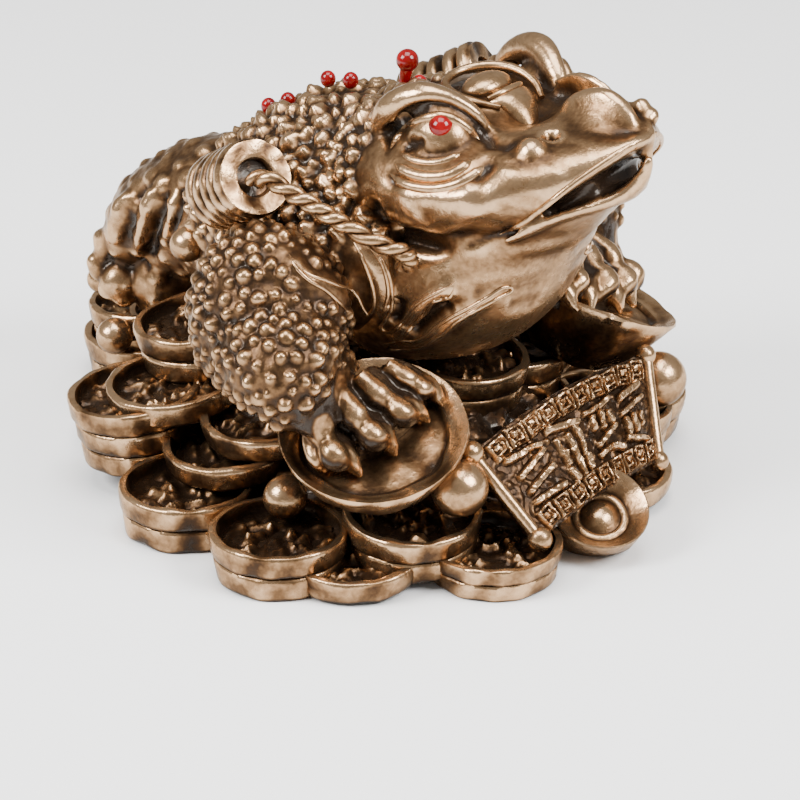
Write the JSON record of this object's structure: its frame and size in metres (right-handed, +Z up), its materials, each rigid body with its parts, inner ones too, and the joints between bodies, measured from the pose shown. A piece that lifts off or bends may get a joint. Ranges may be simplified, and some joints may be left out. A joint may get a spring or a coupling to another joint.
{
  "type": "money toad figurine",
  "caption": "Bronze-coloured resin money toad, three-legged, sitting on a heap of coins with coin strings over its flanks, its front feet in dishes and a scroll at the front",
  "frame": {"origin": "centre of the flat underside, below the middle of the bounding box", "axes": "+Z is up, the toad faces -Y, and its own right side is -X"},
  "size_m": [0.0858, 0.0988, 0.0621],
  "materials": {
    "bronze_painted_resin": "cast resin with a satin bronze coat rubbed bright on the high points and near black in the hollows; the eyes and the studs on the back are glossy red enamel"
  },
  "bodies": {
    "root": {"money_toad_figure": "bronze_painted_resin"}
  },
  "joints": []
}
